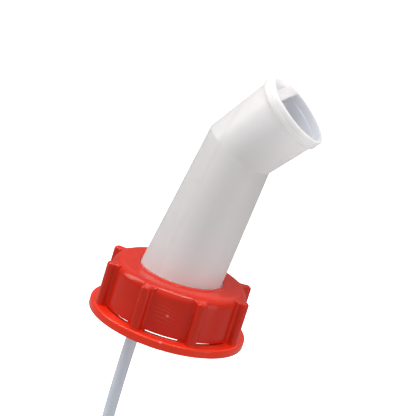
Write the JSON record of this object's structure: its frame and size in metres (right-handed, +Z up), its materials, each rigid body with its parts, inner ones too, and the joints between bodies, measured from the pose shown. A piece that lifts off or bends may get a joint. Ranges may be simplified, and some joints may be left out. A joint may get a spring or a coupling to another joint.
{
  "type": "canister pour spout",
  "caption": "Bent translucent pouring spout with a moulded-in vent channel, ribbed screw collar, flat gasket and hanging vent hose.",
  "frame": {"origin": "middle of the gasket's underside, where the canister's rim seats, on the collar's axis", "axes": "+Z up the collar's axis towards the pouring tube; +X towards the outlet"},
  "size_m": [0.0815, 0.076, 0.3093],
  "materials": {
    "milky_plastic": "translucent natural polyethylene, smooth moulded satin",
    "red_plastic": "moulded polyethylene, semi-gloss with light scuffs",
    "gasket_rubber": "flat punched EPDM rubber",
    "hose_plastic": "translucent extruded polyethylene, smooth satin"
  },
  "bodies": {
    "collar": {"screw_collar": "red_plastic", "sealing_gasket": "gasket_rubber"},
    "spout": {"spout_body": "milky_plastic", "vent_hose": "hose_plastic"}
  },
  "joints": [
    {"name": "spout_swivel", "type": "hinge", "parent": "collar", "child": "spout", "pos_m": [0, 0, 0.006], "axis": [0, 0, 1], "continuous": true}
  ]
}
